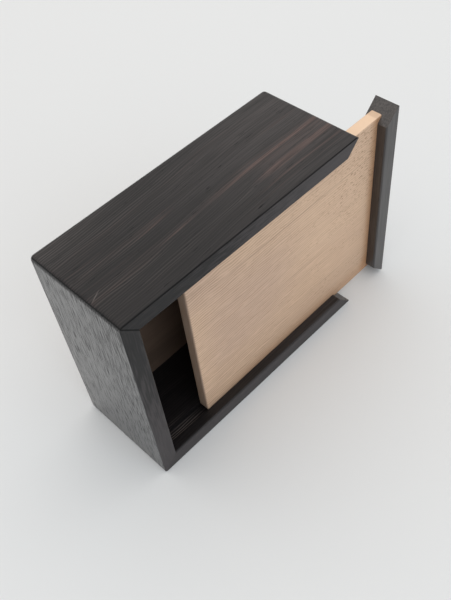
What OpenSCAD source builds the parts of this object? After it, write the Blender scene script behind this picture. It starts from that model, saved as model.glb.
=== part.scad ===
// A small keepsake box with a sliding lid, standing on one of its long walls.
// Four mitred walls of dark wood carry a floor and a pale lid, both let into
// grooves. The far wall is low: its top part was parted off below the lid's
// groove, is glued to the lid as its end piece, and leaves with the lid.
// +X is the way the lid draws out, -Y the way it faces, +Z is up.
// The origin is the middle of the face that the box stands on.

/* [Box] */
// Length over the two end walls
box_l = 98; // [80:1:200]
// Width over the two long walls, which is its height as it stands
box_w = 80; // [50:1:160]
// Depth from the rim to the bottom edge
box_d = 40; // [34:1:80]
// Thickness of the four walls
wall_t = 6; // [4.5:0.1:9]
// Rounding of the outer corners, where the walls meet, and of the bottom's outer edges
corner_r = 1.6; // [0.4:0.1:3]
// Easing of the rim's outer edge
rim_r = 0.3; // [0.1:0.1:0.6]
// Easing of the rim's inner edge
inner_r = 0.7; // [0.1:0.1:1.2]

/* [Lid] */
// Thickness of the lid panel
lid_t = 4.4; // [3:0.1:6]
// Depth of the lid panel's face below the rim
lid_recess = 3.8; // [2:0.1:6]
// Depth of the lid's groove in the walls
lid_groove = 2.4; // [1.6:0.1:3.2]
// Play between each face of the lid panel and its groove
face_play = 0.15; // [0.05:0.05:0.4]
// Play between the lid panel's long edges and the bottom of its groove
edge_play = 0.3; // [0.1:0.05:0.6]
// Room left in the closed end's groove when the lid is shut
stop_play = 0.6; // [0.2:0.1:1.2]
// Easing of the lid panel's edges
lid_edge_r = 0.7; // [0.1:0.1:1]
// Rounding of the lid panel's two leading corners
lid_corner_r = 2.4; // [0.3:0.1:3]
// How far the lid is drawn out
lid_open = 20.5; // [0:0.5:60]

/* [End piece] */
// How far the lid's end piece reaches behind the lid panel
lip_t = 1; // [0.6:0.1:3]
// Hairline left round the end piece when the lid is shut
shut_gap = 0.15; // [0.05:0.05:0.4]

/* [Floor] */
// Thickness of the floor panel
floor_t = 5; // [3:0.1:7]
// Height of the floor panel's underside above the bottom edge
floor_up = 5; // [2:0.1:7]
// Depth of the floor's groove in the walls
floor_groove = 2.5; // [1.5:0.1:3.2]
// Room round the floor panel's edges for the wood to move
floor_play = 0.4; // [0.1:0.1:1]

/* [Hidden] */
$fn = 48;
dark = "#3b3331";
brown = "#5f4638";
pale = "#d3b095";
// Reach of a cut past the surface that it opens
over = 1;
// The lid panel's end is glued into the end piece as deep as its edges sit in the walls
tongue = lid_groove - edge_play;
// Depth of the end piece, and of the low wall's top edge, below the rim
end_piece_d = lid_recess + lid_t + lip_t;
low_wall_d = end_piece_d + shut_gap;
// The lid panel's plan: its inset from the long walls' faces, and its two ends when shut
lid_inset = wall_t - tongue;
lid_lead = -box_l / 2 + wall_t - lid_groove + stop_play;
lid_tail = box_l / 2 - lid_inset;
floor_inset = wall_t - floor_groove + floor_play;
// Quarter turns that carry the lower wall's run round to the other sides
near_side = 90;
top_side = 180;
far_side = 270;

// What an eased corner at the origin takes off a shape in the first quadrant
module easing(r) {
    difference() {
        translate([-over, -over]) square(r + over);
        translate([r, r]) circle(r);
    }
}

// The same of a solid corner, where three eased edges run into a ball
module ball_easing(r) {
    difference() {
        translate([-over, -over, -over]) cube(r + over);
        translate([r, r, r]) sphere(r);
    }
}

// Drives a section, drawn as depth by height, along X
module along_x(l) {
    translate([-l / 2, 0, 0]) rotate([90, 0, 90]) linear_extrude(l) children();
}

// Drives a plan, drawn as length by height, through a depth d
module through_depth(d) {
    translate([0, d, 0]) rotate([90, 0, 0]) linear_extrude(d) children();
}

// Section of a wall: x is the depth below the rim, y the way in from the outer face
module wall_section(d, groove_w, groove_deep) {
    difference() {
        square([d, wall_t]);
        translate([lid_recess + lid_t / 2 - groove_w / 2, wall_t - groove_deep])
            square([groove_w, groove_deep + over]);
        translate([box_d - floor_up - floor_t, wall_t - floor_groove])
            square([floor_t, floor_groove + over]);
        easing(rim_r);
        translate([0, wall_t]) mirror([0, 1]) easing(inner_r);
        translate([box_d, 0]) mirror([1, 0]) easing(corner_r);
    }
}

// Plan of a wall of outer length l, mitred at both ends
module mitred_plan(l) {
    difference() {
        polygon([[-l / 2, 0], [l / 2, 0], [l / 2 - wall_t, wall_t], [-l / 2 + wall_t, wall_t]]);
        for (end = [0, 1])
            mirror([end, 0]) translate([-l / 2, 0]) easing(corner_r);
    }
}

// A wall cut from its section between two mitres, on the side of the box that turn names
module wall_run(l, across, turn) {
    translate([0, 0, box_w / 2]) rotate([0, turn, 0]) translate([0, -box_d / 2, -across / 2])
        difference() {
            intersection() {
                along_x(l) children();
                through_depth(box_d) mitred_plan(l);
            }
            for (end = [0, 1])
                mirror([end, 0, 0]) translate([-l / 2, box_d, 0]) mirror([0, 1, 0]) ball_easing(corner_r);
        }
}

// Section with the lid's running groove
module grooved_section() {
    wall_section(box_d, lid_t + 2 * face_play, lid_groove);
}

module upper_wall() {
    color(dark) wall_run(box_l, box_w, top_side) grooved_section();
}

module lower_wall() {
    color(dark) wall_run(box_l, box_w, 0) grooved_section();
}

module closed_end_wall() {
    color(dark) wall_run(box_w, box_l, near_side) grooved_section();
}

// The part of the far wall that stays: all of its section behind the end piece
module low_end_wall() {
    color(dark) wall_run(box_w, box_l, far_side)
        intersection() {
            grooved_section();
            translate([low_wall_d, 0]) square([box_d - low_wall_d, wall_t]);
        }
}

module floor_panel() {
    color(brown) translate([0, box_d / 2 - floor_up - floor_t, 0])
        through_depth(floor_t)
            translate([-box_l / 2 + floor_inset, floor_inset])
                square([box_l - 2 * floor_inset, box_w - 2 * floor_inset]);
}

// The lid panel's plan, with its two leading corners rounded
module lid_plan() {
    difference() {
        translate([lid_lead, lid_inset]) square([lid_tail - lid_lead, box_w - 2 * lid_inset]);
        translate([lid_lead, lid_inset]) easing(lid_corner_r);
        translate([lid_lead, box_w - lid_inset]) mirror([0, 1]) easing(lid_corner_r);
    }
}

// An eased edge of the panel's thickness, drawn as depth by the way in
module lid_edge(reach) {
    difference() {
        square([lid_t, reach]);
        easing(lid_edge_r);
        translate([lid_t, 0]) mirror([1, 0]) easing(lid_edge_r);
    }
}

module lid_panel() {
    color(pale) translate([lid_open, -box_d / 2 + lid_recess, 0])
        intersection() {
            through_depth(lid_t) lid_plan();
            // Eased long edges, upper and lower
            along_x(box_l) translate([0, lid_inset]) union() {
                lid_edge(box_w / 2 - lid_inset);
                translate([0, box_w - 2 * lid_inset]) mirror([0, 1]) lid_edge(box_w / 2 - lid_inset);
            }
            // Eased leading edge
            translate([lid_lead, 0, 0]) rotate([0, 90, 0]) mirror([1, 0, 0]) rotate([90, 0, 90])
                linear_extrude(box_w) lid_edge(box_l);
        }
}

// The part of the far wall that leaves with the lid, cut a hairline short at its mitres
module lid_end_piece() {
    color(dark) translate([lid_open, 0, 0]) wall_run(box_w - 2 * shut_gap, box_l, far_side)
        intersection() {
            wall_section(box_d, lid_t, tongue);
            square([end_piece_d, wall_t]);
        }
}

upper_wall();
lower_wall();
closed_end_wall();
low_end_wall();
floor_panel();
lid_panel();
lid_end_piece();
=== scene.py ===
from math import pi, radians

import bpy
from mathutils import Matrix, Vector

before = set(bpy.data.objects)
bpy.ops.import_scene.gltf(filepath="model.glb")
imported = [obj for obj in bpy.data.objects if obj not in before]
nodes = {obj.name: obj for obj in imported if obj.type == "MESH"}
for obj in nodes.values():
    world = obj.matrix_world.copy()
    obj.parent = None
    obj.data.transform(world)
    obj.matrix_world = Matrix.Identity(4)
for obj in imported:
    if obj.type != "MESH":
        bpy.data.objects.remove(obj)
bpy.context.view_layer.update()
scene = bpy.context.scene
scene.view_settings.view_transform = "Standard"

# ---- Camera ----
# The box is seen from above its closed end, so near that the far end draws in. The frame is
# a tall one of 451 by 600, and it leans a little to the left.
EYE = Vector((-0.1022, -0.1286, 0.2287))     # in metres
HEADING = 39.42         # degrees that the view turns from +Y towards +X
DIP = 50.48             # degrees that the view looks down
LEAN = -8.0             # degrees that the frame rolls about the view
FRAME_H = 36.0          # height of the frame on the sensor, in millimetres as Blender has it
FRAME_W = FRAME_H * 451 / 600
LENS = 44.85            # in millimetres, for that frame
NEAREST = 0.01          # metres from the eye at which the view begins

camera = bpy.data.objects.new("camera", bpy.data.cameras.new("camera"))
scene.collection.objects.link(camera)
scene.camera = camera
camera.data.sensor_fit = "VERTICAL"
camera.data.sensor_height = FRAME_H
camera.data.sensor_width = FRAME_W
camera.data.lens = LENS
camera.data.clip_start = NEAREST
heading = Matrix.Rotation(radians(-HEADING), 4, "Z") @ Matrix.Rotation(radians(90 - DIP), 4, "X")
camera.matrix_world = Matrix.Translation(EYE) @ heading @ Matrix.Rotation(radians(LEAN), 4, "Z")

# ---- Floor and light ----
# A plain pale sheet in an even white room, with a wide soft panel over the far side of the
# box and a cooler one well in front of it, so that the shadows are faint and lie in front.
FLOOR_SIZE = 6
FLOOR_GREY = (0.80, 0.80, 0.80, 1)
FLOOR_ROUGHNESS = 0.75
ROOM_COLOUR = (0.975, 0.98, 0.985, 1)
ROOM_LIGHT = 0.69

world = bpy.data.worlds.new("room")
scene.world = world
world.use_nodes = True
room = world.node_tree.nodes["Background"]
room.inputs["Color"].default_value = ROOM_COLOUR
room.inputs["Strength"].default_value = ROOM_LIGHT

bpy.ops.object.select_all(action="DESELECT")
bpy.ops.mesh.primitive_plane_add(size=FLOOR_SIZE, location=(0, 0, 0))
floor = bpy.context.object
floor.name = "floor"
sheet = bpy.data.materials.new("pale_sheet")
sheet.use_nodes = True
paper = sheet.node_tree.nodes["Principled BSDF"]
paper.inputs["Base Color"].default_value = FLOOR_GREY
paper.inputs["Roughness"].default_value = FLOOR_ROUGHNESS
floor.data.materials.append(sheet)


def soft_panel(name, place, target, size, colour, power):
    """A square panel of light that faces its target, in metres and watts."""
    data = bpy.data.lights.new(name, "AREA")
    data.shape = "SQUARE"
    data.size = size
    data.color = colour
    data.energy = power
    lamp = bpy.data.objects.new(name, data)
    scene.collection.objects.link(lamp)
    lamp.location = place
    lamp.rotation_euler = (Vector(target) - Vector(place)).to_track_quat("-Z", "Y").to_euler()


soft_panel("panel_above", place=(0.2, 0.35, 0.9), target=(0.2, 0.35, 0), size=1.6,
           colour=(1, 0.96, 0.89), power=4.6)
soft_panel("panel_in_front", place=(-0.1, -1.2, 0.8), target=(0, 0, 0), size=1.2,
           colour=(0.70, 0.87, 1), power=4.5)


# ---- Upper wall ----
# The long wall that lies on top: near-black wood with long reddish streaks, mitred at both
# ends, glued to the closed end wall and to the low end wall.
PER_METRE = 1000                      # the finishes are worked out in millimetres


def corners_of(node):
    """The low and the high corner of a CAD node, in millimetres."""
    sides = list(zip(*(vertex.co * PER_METRE for vertex in nodes[node].data.vertices)))
    return [[round(end(side), 2) for side in sides] for end in (min, max)]


# The box stands on the floor with its middle over the origin, so its width is its height. The
# end wall is as deep as the box.
end_low, end_high = corners_of("closed_end_wall")
_, upper_high = corners_of("upper_wall")
BOX_L, BOX_D, BOX_W = -2 * end_low[0], end_high[1] - end_low[1], upper_high[2]
BLACK = (0.0215, 0.0176, 0.0183, 1)   # the wood itself
SHEEN_GREY = (0.068, 0.058, 0.056, 1)       # the same, greyed by painted sheen
RUST = (0.128, 0.081, 0.071, 1)       # its reddish streaks
SCUFF = (0.22, 0.185, 0.170, 1)       # pale scuffs and scratches
PORE = (0.004, 0.0035, 0.0035, 1)     # pores, and the dark lines of the grain
RIM_BLACK = (0.005, 0.0048, 0.0054, 1)     # the rim's smooth face
RIM_PALE = (0.050, 0.043, 0.0445, 1)  # and where it is palest: low down, and with painted sheen at the far end
GLUE_AND_ARRIS_SHADE = (0.001, 0.001, 0.001, 1)       # the glue lines of the joints, and the painted dark reflection on the rim's upper arris
CUT = (0.17, 0.145, 0.13, 1)          # end grain on the bare mitres
COAT_ROUGHNESS = 0.25
PORE_DEPTH = 0.00008                  # in metres, as Blender's bumps are
PORE_NOISE = 0.76                     # noise that is higher than this is a pore in close wood
OPEN_NOISE = 0.22                     # and as much lower in fully open wood
DARK_DRIFT = 3                        # how far its grain drifts from side to side
# Where each of these is full and where it has faded, in millimetres
BEND = (-45, 30)                      # the bend of the grain, along the board
RIM_FACE = (0.05, 0.3)                # the rim's face, below the rim
ARRIS_SHADE = (0.2, 0.5)               # the painted dark reflection on its arris, in from the edge
GLUE_LINE = (0.2, 0.45)               # half of a glue line's width
# Where each of these begins and where it is full
GLUED = (10.4, 10.5)                  # the part of the mitres with a glue line, below the rim
UPPER_PART = (10, 70)                 # the upper part of the box, above the floor


class Grain:
    """A value or a colour in a finish; sums and products of values add Math nodes."""

    MIX_SHARE, MIX_UNDER, MIX_OVER, MIXED = 0, 6, 7, 2     # a Mix node's sockets for colours

    def __init__(self, tree, socket=None):
        self.tree, self.socket = tree, socket

    def node(self, kind, settings=None, inputs=None, output=0):
        """One output of a new node, with its settings and then its inputs filled in."""
        made = self.tree.nodes.new(kind)
        for name, value in (settings or {}).items():
            setattr(made, name, value)
        for name, value in (inputs or {}).items():
            if isinstance(value, Grain):
                self.tree.links.new(value.socket, made.inputs[name])
            else:
                made.inputs[name].default_value = value
        return Grain(self.tree, made.outputs[output])

    def maths(self, operation, *values):
        return self.node("ShaderNodeMath", {"operation": operation}, dict(enumerate(values)))

    def __add__(self, other):
        return self.maths("ADD", self, other)

    def __mul__(self, other):
        return self.maths("MULTIPLY", self, other)

    def __sub__(self, other):
        return self.maths("SUBTRACT", self, other)

    def __rsub__(self, other):
        return self.maths("SUBTRACT", other, self)

    def __abs__(self):
        return self.maths("ABSOLUTE", self)

    __radd__ = __add__
    __rmul__ = __mul__

    def rise(self, low, high):
        """0 at low, 1 at high, and smooth between."""
        return self.node("ShaderNodeMapRange", {"interpolation_type": "SMOOTHSTEP"},
                         {"Value": self, "From Min": low, "From Max": high})

    def fall(self, low, high):
        """1 at low, 0 at high, and smooth between."""
        return 1 - self.rise(low, high)

    def mix(self, under, over):
        """Two colours, with this value as the share of the second."""
        return self.node("ShaderNodeMix", {"data_type": "RGBA"},
                         {self.MIX_SHARE: self, self.MIX_UNDER: under, self.MIX_OVER: over}, self.MIXED)

    def tint(self, over, share):
        """This colour, with a share of another laid over it."""
        return share.mix(self, over)

    def relief(self, strength, depth):
        """This value as bumps, up to depth metres deep."""
        return self.node("ShaderNodeBump", inputs={"Height": self, "Strength": strength, "Distance": depth})

    def feed(self, shader, name):
        """Lead this value or colour into the shader."""
        self.tree.links.new(self.socket, shader.inputs[name])


def new_finish(name):
    """A finish, with its shader and the object's own x, y and z in millimetres."""
    material = bpy.data.materials.new(name)
    material.use_nodes = True
    base = Grain(material.node_tree)
    place = base.node("ShaderNodeTexCoord", output="Object")
    sides = [base.node("ShaderNodeSeparateXYZ", inputs={0: place}, output=side) * PER_METRE
             for side in "XYZ"]
    return material, material.node_tree.nodes["Principled BSDF"], sides


def fibres(board, long, wide, detail=2.0):
    """Noise drawn out along a board's grain, in strokes about long by wide millimetres."""
    along, across, through = board
    place = along.node("ShaderNodeCombineXYZ", inputs={"X": along * (1 / long), "Y": across * (1 / wide),
                                                       "Z": through * (1 / wide)})
    return along.node("ShaderNodeTexNoise", inputs={"Vector": place, "Scale": 1.0, "Detail": detail,
                                                    "Roughness": 0.55})


def ridges(board, pitch, long):
    """Fine lines side by side along a board's grain, pitch apart and broken every long or so."""
    wander = fibres(board, long, pitch * 2, detail=0) * 7      # radians, so about a pitch
    return board[1].maths("SINE", board[1] * (2 * pi / pitch) + wander) * 0.5 + 0.5


def streak(board, across, start, end, half_width, strength, slope=0, fade=12):
    """One long streak at a chosen place, which thins out at both ends and may run askew.

    board holds the ways along and across it. The streak lies at across, from start to end, all
    in millimetres. It gains slope across for each one along, and fade is the length of its ends.
    """
    along, sideways = board
    here = abs(sideways - along * slope - across).fall(0, half_width) * strength
    return here * along.rise(start, start + fade) * along.fall(end - fade, end)


def below_rim(y):
    """How far a place lies below the rim."""
    return y + BOX_D / 2


def in_from_side(z):
    """How far a place lies in from the nearer of the two long sides."""
    return BOX_W / 2 - abs(z - BOX_W / 2)


def tone_rim(colour, sides, board, rim_face, painted_sheen, rim):
    """Make the rim's face smooth, paler low down and, with painted sheen, at the far end, and paint a dark
    reflection along its upper arris.
    """
    x, y, z = sides
    # paler low down, and paler at the far end with painted sheen
    rim_paling = x.rise(-45, 40) * painted_sheen * 1.15 + z.fall(5, 80) * 0.98
    rim_paling = rim_paling + (fibres(board, long=6, wide=0.5, detail=0).rise(0.3, 0.7) - 0.45) * 0.5
    colour = colour.tint(rim_paling.rise(0, 1).mix(RIM_BLACK, RIM_PALE), rim_face * rim)
    # a painted dark reflection along the rim's upper arris
    arris = below_rim(y).fall(*ARRIS_SHADE) * in_from_side(z).fall(*ARRIS_SHADE) * z.rise(*UPPER_PART)
    return colour.tint(GLUE_AND_ARRIS_SHADE, arris * rim), arris


def mark_mitres(colour, sides, drawn):
    """A glue line where two walls meet at a mitre, and mottled end grain on the bare far mitres."""
    x, y, z = sides
    end_in = BOX_L / 2 + drawn - abs(x)
    mitre = abs(end_in - in_from_side(z)).fall(*GLUE_LINE)
    upper_near = x.fall(-1, 1) * z.rise(*UPPER_PART)
    glued = (below_rim(y).rise(*GLUED) + upper_near).rise(0, 1)
    line = mitre * glued
    bare = mitre * (1 - glued) * x.rise(0, 1)
    mottle = fibres((z, y, x), long=2.4, wide=0.5, detail=1).rise(0.3, 0.7) * 0.26 + 0.1
    return colour.tint(GLUE_AND_ARRIS_SHADE, line).tint(CUT, bare * mottle), line


def dark_wood(name, grain, shift, red=0.3, sweep=0, sheen=0.3, pores=0.2, polish=0, painted_sheen=0, rim=0.8,
              drawn=0, streaks=(), scuffs=(), scratches=()):
    """Near-black wood, with its grain along the axis called grain.

    shift picks its part of the tree, in millimetres along and across. sweep is how far the grain
    bends at the near end, and drawn how far the piece stands out from the box's end. Streaks are
    reddish, scuffs and scratches pale. The rest are shares: of red, gloss (sheen), open pores,
    polish, painted sheen that greys the wood (painted_sheen) and the rim's darker face (rim).
    """
    material, shader, sides = new_finish(name)
    x, y, z = sides
    along, across, through = {"x": (x, y, z), "z": (z, y, x)}[grain]
    swept = across + along.fall(*BEND) * sweep
    lengthwise = (x, swept)
    along, across = along + shift[0], swept + shift[1]
    drift = (fibres((along, across, through), long=90, wide=25) - 0.5) * DARK_DRIFT
    board = (along, across + drift, through + drift)
    rim_face = below_rim(y).fall(*RIM_FACE)

    # stripes, a comb of fine dark lines, fibres, and pores, which the rim's face doesn't show
    stripe = fibres(board, long=45, wide=0.7)
    comb = ridges(board, pitch=0.9, long=12)
    fibre = fibres(board, long=18 - pores * 10, wide=0.3 + pores * 0.1, detail=0.5)
    openness = (along.rise(shift[0] + 5, shift[0] + 70) - across.rise(-26, 4)) * (0.07 * pores)
    least = PORE_NOISE - pores * OPEN_NOISE
    pore = (fibres(board, long=5, wide=0.3, detail=0) + openness).rise(least, least + 0.1)
    pore = pore * (1 - rim_face)

    # black, greyed by painted sheen at the far end and the near back corner, and scuffed between the comb's
    # lines
    far_sheen = x.rise(-30, BOX_L / 2) * (y.rise(-BOX_D / 2, 0) * 0.4 + 0.6)
    corner_sheen = y.rise(4, BOX_D / 2) * x.fall(-BOX_L / 2, -5) * 1.35
    colour = ((far_sheen + corner_sheen) * painted_sheen).mix(BLACK, SHEEN_GREY)
    between = (1 - comb).rise(0.3, 1)
    for mark in scuffs:
        colour = colour.tint(SCUFF, streak(lengthwise, *mark) * between)
    colour = colour.tint(PORE, fibres(board, long=80, wide=3).rise(0.35, 0.7) * 0.35)

    # reddish in bands and in the listed streaks, then the fine dark lines over it all
    redness = (fibres(board, long=140, wide=5) * 0.7 + stripe * 0.5).rise(0.55, 0.9) * red
    frayed = stripe.rise(0.2, 0.6) * 0.8 + comb * 0.3
    for mark in streaks:
        redness = redness + streak(lengthwise, *mark) * frayed
    colour = colour.tint(RUST, redness.rise(0, 1))
    colour = colour.tint(PORE, comb * (0.6 - x.rise(-30, 30) * 0.4))
    colour = colour.tint(PORE, fibre.rise(0.35, 0.7) * 0.5)
    colour = colour.tint(PORE, pore * 0.9)
    for mark in scratches:
        colour = colour.tint(SCUFF, streak(lengthwise, *mark))
    colour, arris = tone_rim(colour, sides, board, rim_face, painted_sheen, rim)
    colour, line = mark_mitres(colour, sides, drawn)
    colour.feed(shader, "Base Color")

    # dull in the joints and the pores, with what polish there is between them
    rough = 0.34 + fibre * 0.1 + pore * 0.3 + (line + arris) * 0.4 + rim_face * 0.1
    rough.feed(shader, "Roughness")
    shader.inputs["Specular IOR Level"].default_value = sheen
    unpolished = fibre.rise(0.35, 0.65) * 0.25 + pore * 0.4
    coat = (1 - unpolished) * (1 - rim_face * rim) * (z.rise(0, 50) * 0.12 + 0.88) * polish
    coat.feed(shader, "Coat Weight")
    shader.inputs["Coat Roughness"].default_value = COAT_ROUGHNESS
    (fibre * -0.5 - pore - line).relief(strength=0.4, depth=PORE_DEPTH).feed(shader, "Normal")
    return material


def finish(node, material):
    """Give a CAD node its finish."""
    nodes[node].data.materials.clear()
    nodes[node].data.materials.append(material)


# Each mark: across, start, end, half width, strength, and for the scar also slope and fade. The
# streaks are named for where they lie on the wall.
MIDDLE_STREAKS = [(-3.3, 0, 50, 0.8, 0.65), (-3.3, 12, 42, 0.4, 0.45), (-3.3, -26, -2, 0.6, 0.6),
                  (-3.3, -8, 62, 2.6, 0.35)]
FAR_STREAKS = [(-9.2, 8, 64, 1.6, 0.6), (-8, 12, 90, 9, 0.42)]
BACK_STREAKS = [(3.8, -30, -6, 0.9, 0.55), (4.7, 24, 52, 1.2, 0.4), (14.7, 0, 30, 0.6, 0.25)]
RIM_STREAKS = [(-13.4, 4, 58, 0.8, 0.4), (-15.8, -4, 58, 0.6, 0.3)]
NEAR_STREAKS = [(4.8, -54, -6, 2.4, 0.2), (-4.4, -64, -18, 3.4, 0.13), (0.6, -60, -20, 0.7, 0.3),
                (-7.2, -58, -26, 0.6, 0.25), (8.4, -60, -30, 0.7, 0.2)]
UPPER_STREAKS = MIDDLE_STREAKS + FAR_STREAKS + BACK_STREAKS + RIM_STREAKS + NEAR_STREAKS
UPPER_SCUFFS = [(16, -70, 10, 11, 0.07), (4.8, -62, -12, 3.5, 0.11), (-4.8, -62, -16, 3.5, 0.13),
                (-2.2, -58, -36, 0.6, 0.25), (-10, -62, 20, 3, 0.05)]
SCAR = (20.3, -48.6, -43.2, 0.3, 0.42, 0.5, 2.4)
finish("upper_wall", dark_wood("upper_wall_wood", grain="x", shift=(0, 0), sweep=4, pores=0.1, painted_sheen=0.8,
                               streaks=UPPER_STREAKS, scuffs=UPPER_SCUFFS, scratches=[SCAR]))

# ---- Lower wall ----
# The long wall that the box stands on: the same wood and the same section as the upper wall,
# with the lid's groove and the floor's groove facing up.
# pale lines in the lid's groove, partly dust and partly painted glints on its edges
GROOVE_DUST_AND_GLINTS = [(-13.6, -58, -22, 3, 0.9), (-15.6, -58, -26, 1.5, 0.8), (-10.8, -58, -26, 0.8, 0.6)]
finish("lower_wall", dark_wood("lower_wall_wood", grain="x", shift=(210, 40), red=0.1, painted_sheen=0.8,
                               scuffs=GROOVE_DUST_AND_GLINTS))

# ---- Closed end wall ----
# The short wall at the near end: the same wood with its grain up and down and its pores open,
# polished, mitred and glued between the two long walls.
finish("closed_end_wall", dark_wood("closed_end_wood", grain="z", shift=(400, 0), red=0.05, pores=0.95,
                                    polish=0.93, rim=0.9))

# ---- Low end wall ----
# The far wall below the lid, mitred and glued between the two long walls: all that is left of
# it behind the part that the lid carries.
FAR_BOARD = (700, 0)                  # its part of the tree, and the lid's end piece's
finish("low_end_wall", dark_wood("low_end_wood", grain="z", shift=FAR_BOARD, red=0.2))


# ---- Floor panel ----
# The bottom of the box: a plain brown board, held without glue in grooves in the four walls.
# Its edges have a little room there for the wood to move.
BROWN = (0.15, 0.096, 0.068, 1)
DEEP_BROWN = (0.105, 0.067, 0.046, 1)


def brown_wood(name):
    """Plain brown wood, with its grain along x."""
    material, shader, (x, y, z) = new_finish(name)
    board = (x, z, y)
    fibre = fibres(board, long=30, wide=0.8)
    colour = (fibres(board, long=90, wide=9) + fibre * 0.3).rise(0.4, 0.9).mix(BROWN, DEEP_BROWN)
    colour.feed(shader, "Base Color")
    (0.5 + fibre * 0.2).feed(shader, "Roughness")
    return material


finish("floor_panel", brown_wood("floor_wood"))

# ---- Lid panel ----
# A pale, finely striped board with short dark flecks, let into the walls' groove at its two
# long edges and glued into the end piece.
ASHEN = (0.60, 0.412, 0.30, 1)
PALE = (0.70, 0.48, 0.325, 1)
TAN = (0.58, 0.38, 0.25, 1)
# the amber of the painted shade against the end piece and along the lower wall
AMBER_SHADE = (0.47, 0.24, 0.115, 1)
LINE = (0.33, 0.215, 0.145, 1)
FLECK = (0.24, 0.12, 0.06, 1)
EDGE = (0.88, 0.62, 0.43, 1)
END_GRAIN = (0.37, 0.265, 0.20, 1)
FLECK_DEPTH = 0.00006                 # in metres
PALE_DRIFT = 5                        # how far its grain drifts from side to side
lid_low, lid_high = corners_of("lid_panel")
end_piece_low, end_piece_high = corners_of("lid_end_piece")
LID_LEAD = lid_low[0]                 # where the lid's face starts
LID_TAIL = end_piece_low[0]           # and ends, against the end piece
SHADE_STRIP_W = 5.5                          # width of the strip of painted amber shade there
CONTACT_SHADE_W = 1.2                          # and of the darker painted shade at the joint
EASED = 0.3                           # how far in its long edges' easing shows
LID_ARRIS = lid_high[2] - BOX_W / 2 - EASED     # from the middle of its width
LID_LINES = [(61.8, -26, 66, 0.4, 0.45), (61.8, -4, 40, 0.35, 0.35), (64.9, -32, -4, 0.4, 0.7),
             (66.1, -34, -8, 0.4, 0.6), (63.9, -30, -6, 0.3, 0.5), (57.8, -26, 28, 0.35, 0.3),
             (36.5, 12, 42, 0.4, 0.35), (31, 18, 42, 0.35, 0.3), (19.5, 20, 60, 0.4, 0.3)]


def pale_wood(name):
    """Pale wood, with its grain along x."""
    material, shader, (x, y, z) = new_finish(name)
    drift = (fibres((x, z, y), long=80, wide=25) - 0.5) * PALE_DRIFT
    board = (x, z + drift, y)
    stripe = ridges(board, pitch=1.05, long=7) * fibres(board, long=6, wide=2).rise(0.1, 0.6)
    far = x.rise(-5, 45)

    # ashen in the middle and at the upper near corner, tanned in broad bands, and darker low at the far end
    # with painted shade
    greyed = x.rise(-26, -10) * x.fall(5, 35) * z.rise(8, 32) * z.fall(48, 70)
    greyed = greyed + x.fall(-20, 5) * z.rise(50, 66)
    colour = (greyed * 0.6 + fibres(board, long=40, wide=12) * 0.7 - 0.15).rise(0, 1).mix(PALE, ASHEN)
    colour = colour.tint(TAN, fibres(board, long=120, wide=5).rise(0.5, 0.75) * 0.35)
    colour = colour.tint(TAN, x.rise(5, 30) * z.fall(30, 44) * 0.3)

    # painted shade: browner low down, and amber against the end piece and along the lower wall
    colour = colour.tint(LINE, z.fall(4, 27) * 0.3)
    painted_shade = x.rise(LID_TAIL - SHADE_STRIP_W, LID_TAIL) * 0.7 + z.fall(5.5, 15) * 0.45 * x.rise(-30, 0)
    colour = colour.tint(AMBER_SHADE, painted_shade.rise(0, 1))

    # long brown lines, some at listed places, and fine stripes, fainter at the far end
    colour = colour.tint(LINE, fibres(board, long=60, wide=1.1).rise(0.5, 0.75) * 0.14)
    for mark in LID_LINES:
        colour = colour.tint(LINE, streak((x, z), *mark))
    colour = colour.tint(LINE, stripe * (0.6 - far * 0.27))

    # short brown flecks, most of them in a cluster near the end piece
    cluster = x.rise(34, 50) * z.rise(36, 52)
    patch = (fibres(board, long=9, wide=7).rise(0.4, 0.6) + cluster).rise(0, 1)
    fleck = fibres(board, long=1.3, wide=0.34, detail=0).rise(0.65, 0.75) * patch
    colour = colour.tint(FLECK, fleck * (0.12 + far * 0.25 + cluster * 0.35))

    # paler long edges, a darker painted shade against the end piece, and end grain on the leading edge
    colour = colour.tint(EDGE, abs(z - BOX_W / 2).rise(LID_ARRIS, LID_ARRIS + 0.2))
    colour = colour.tint(FLECK, x.rise(LID_TAIL - CONTACT_SHADE_W, LID_TAIL) * 0.25)
    end_grain = (fibres((z, y, x), long=7, wide=0.8, detail=0).rise(0.35, 0.6) * 0.5).mix(END_GRAIN, LINE)
    colour = colour.tint(end_grain, x.fall(LID_LEAD + 0.1, LID_LEAD + 0.4))
    colour.feed(shader, "Base Color")
    (0.55 + stripe * 0.1).feed(shader, "Roughness")
    (stripe * -0.6 - fleck).relief(strength=0.5, depth=FLECK_DEPTH).feed(shader, "Normal")
    return material


finish("lid_panel", pale_wood("lid_wood"))

# ---- Lid end piece ----
# The top strip of the far wall, parted off below the lid's groove and glued over the end of
# the lid panel, so it has the low end wall's grain.
LID_DRAWN = end_piece_high[0] - BOX_L / 2     # how far the lid is drawn out
finish("lid_end_piece", dark_wood("end_piece_wood", grain="z", shift=FAR_BOARD, red=0.05, sheen=0.6,
                                  painted_sheen=0.7, polish=0.42, rim=0, drawn=LID_DRAWN))
